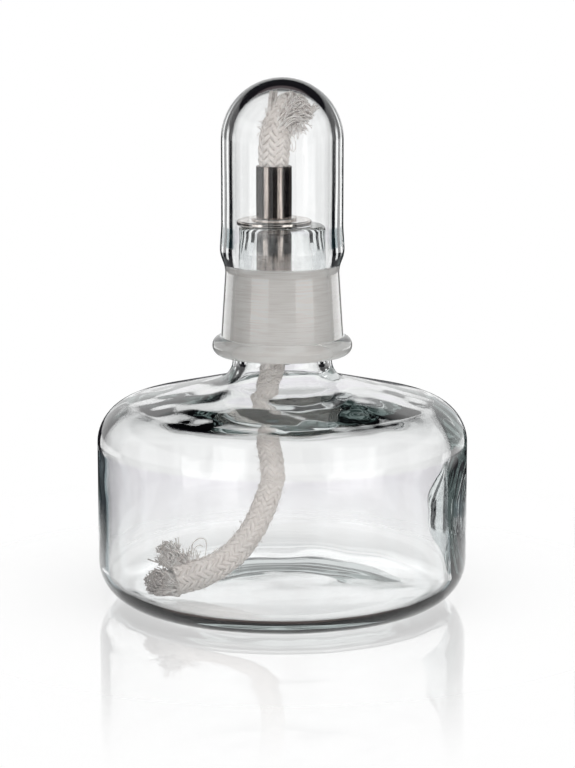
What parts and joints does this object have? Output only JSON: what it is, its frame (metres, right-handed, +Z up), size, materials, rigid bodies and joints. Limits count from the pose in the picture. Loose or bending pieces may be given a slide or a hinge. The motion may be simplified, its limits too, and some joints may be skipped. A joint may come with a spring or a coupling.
{
  "type": "spirit lamp",
  "caption": "Squat glass spirit lamp with a ground neck, a loose metal wick holder, a braided cotton wick and a domed glass cap that lifts off to light it.",
  "frame": {"origin": "centre of the flat ring under the reservoir, on the surface the lamp stands on", "axes": "+Z up along the neck and cap; -Y towards the viewer, with the wick's loose end lying to -X"},
  "size_m": [0.0746, 0.0746, 0.1054],
  "materials": {
    "reservoir_glass": "blown clear glass, fire polished, with a matt ground cone on the neck",
    "cap_glass": "drawn clear glass, fire polished, with a matt ground socket inside",
    "drawn_steel": "seamed tube, drawn, with lengthwise draw marks",
    "polished_steel": "stamped disc, polished, with a rolled edge",
    "cotton_braid": "unbleached cotton yarn, round braid with frayed ends"
  },
  "bodies": {
    "reservoir": {"reservoir": "reservoir_glass"},
    "holder": {"wick_tube": "drawn_steel", "collar": "polished_steel"},
    "wick": {"wick_crown": "cotton_braid", "wick_core": "cotton_braid", "wick_tail": "cotton_braid"},
    "cap": {"cap": "cap_glass"}
  },
  "joints": [
    {"name": "holder_lift", "type": "slide", "parent": "reservoir", "child": "holder", "axis": [0, 0, 1], "range_m": [0, 0.022]},
    {"name": "cap_lift", "type": "slide", "parent": "holder", "child": "cap", "axis": [0, 0, 1], "range_m": [0, 0.06]},
    {"name": "wick_feed", "type": "slide", "parent": "holder", "child": "wick", "axis": [0, 0, 1], "range_m": [-0.004, 0], "deforming": ["wick_tail"]}
  ]
}
